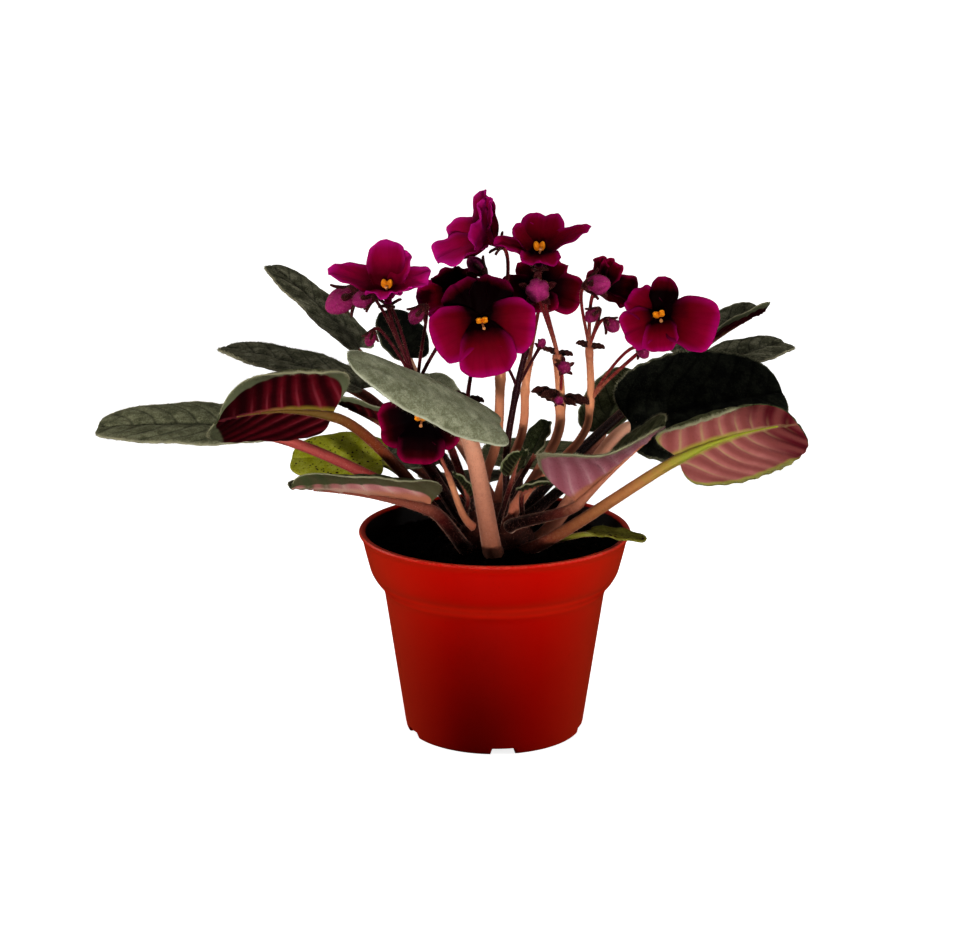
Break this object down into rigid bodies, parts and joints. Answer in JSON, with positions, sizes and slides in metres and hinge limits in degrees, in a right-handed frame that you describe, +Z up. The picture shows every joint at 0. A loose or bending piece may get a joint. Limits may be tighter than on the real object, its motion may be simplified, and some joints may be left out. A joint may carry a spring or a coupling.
{
  "type": "potted african violet",
  "caption": "Flowering African violet in a plastic nursery pot: a rosette of hairy oval leaves round upright stalks of wine-red flowers, standing in potting soil.",
  "frame": {"origin": "middle of the pot's underside, on its axis", "axes": "+Z up along the pot's axis; +X to the right and -Y towards the viewer as the plant is seen"},
  "size_m": [0.2738, 0.1931, 0.2086],
  "materials": {
    "pot": "satin moulded",
    "soil": "damp crumbs",
    "crown": "rough",
    "leaf": "hairy, matt",
    "leaf_yellow": "hairy, matt",
    "petal": "velvety",
    "anther": "matt",
    "stalk": "hairy"
  },
  "bodies": {
    "root": {"anthers_back_left": "anther", "anthers_left_top": "anther", "anthers_low": "anther", "anthers_middle": "anther", "anthers_middle_back": "anther", "anthers_right": "anther", "anthers_top": "anther", "anthers_upper_left": "anther", "anthers_upper_right": "anther", "bloom_back_left": "petal", "bloom_left_top": "petal", "bloom_low": "petal", "bloom_middle": "petal", "bloom_middle_back": "petal", "bloom_right": "petal", "bloom_top": "petal", "bloom_upper_left": "petal", "bloom_upper_right": "petal", "crown": "crown", "leaf_back": "leaf", "leaf_back_left": "leaf", "leaf_back_right": "leaf", "leaf_dark_back": "leaf", "leaf_far_left": "leaf", "leaf_far_right": "leaf", "leaf_front": "leaf", "leaf_left_back": "leaf", "leaf_left_front": "leaf", "leaf_left_inner": "leaf", "leaf_low_left": "leaf", "leaf_pale_back": "leaf", "leaf_right_back": "leaf", "leaf_right_dark": "leaf", "leaf_right_folded": "leaf", "leaf_right_front": "leaf", "leaf_upper_left": "leaf", "leaf_upper_right": "leaf", "leaf_yellow_left": "leaf_yellow", "leaf_yellow_right": "leaf_yellow", "leaf_young_front": "leaf", "leaf_young_left": "leaf", "leaf_young_low": "leaf", "leaf_young_right": "leaf", "pot": "pot", "potting_soil": "soil", "stalk_bracted": "stalk", "stalk_dark": "stalk", "stalk_left": "stalk", "stalk_low": "stalk", "stalk_middle": "stalk", "stalk_pale": "stalk", "stalk_right": "stalk", "stalk_tall": "stalk"}
  },
  "joints": []
}
